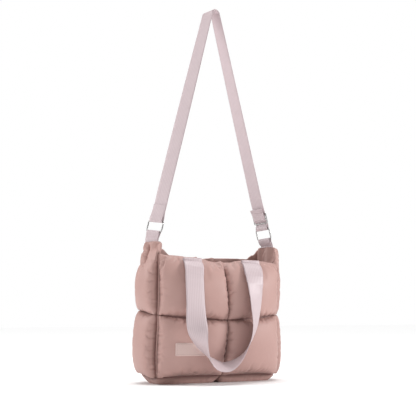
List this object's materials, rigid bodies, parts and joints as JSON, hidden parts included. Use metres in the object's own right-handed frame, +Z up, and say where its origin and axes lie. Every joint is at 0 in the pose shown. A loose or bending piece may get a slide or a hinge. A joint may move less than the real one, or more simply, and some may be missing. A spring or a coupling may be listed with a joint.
{
  "type": "quilted shoulder bag",
  "caption": "Open-topped padded tote with quilted puffs, webbing grab handles and an adjustable webbing shoulder strap on rectangular rings.",
  "frame": {"origin": "under the crest of the shoulder strap, on top of the round peg that the strap hangs over", "axes": "+Z up along the bag's height, +X towards the slide's end of the strap, -Y out of the front with the label patch"},
  "size_m": [0.3887, 0.2943, 0.9555],
  "materials": {
    "nylon": "matt dusty-rose nylon over soft padding",
    "webbing": "satin pale-pink webbing with fine lengthwise ribs",
    "label": "smooth matt patch, blank",
    "metal": "polished silver wire"
  },
  "bodies": {
    "root": {"front_panel": "nylon", "back_panel": "nylon", "bottom_panel": "nylon", "gusset_left": "nylon", "gusset_right": "nylon", "handle_front": "webbing", "handle_back": "webbing", "strap_tab_left": "webbing", "strap_tab_right": "webbing", "shoulder_strap": "webbing", "label_patch": "label", "ring_left": "metal", "ring_right": "metal", "strap_slide": "metal"}
  },
  "joints": []
}
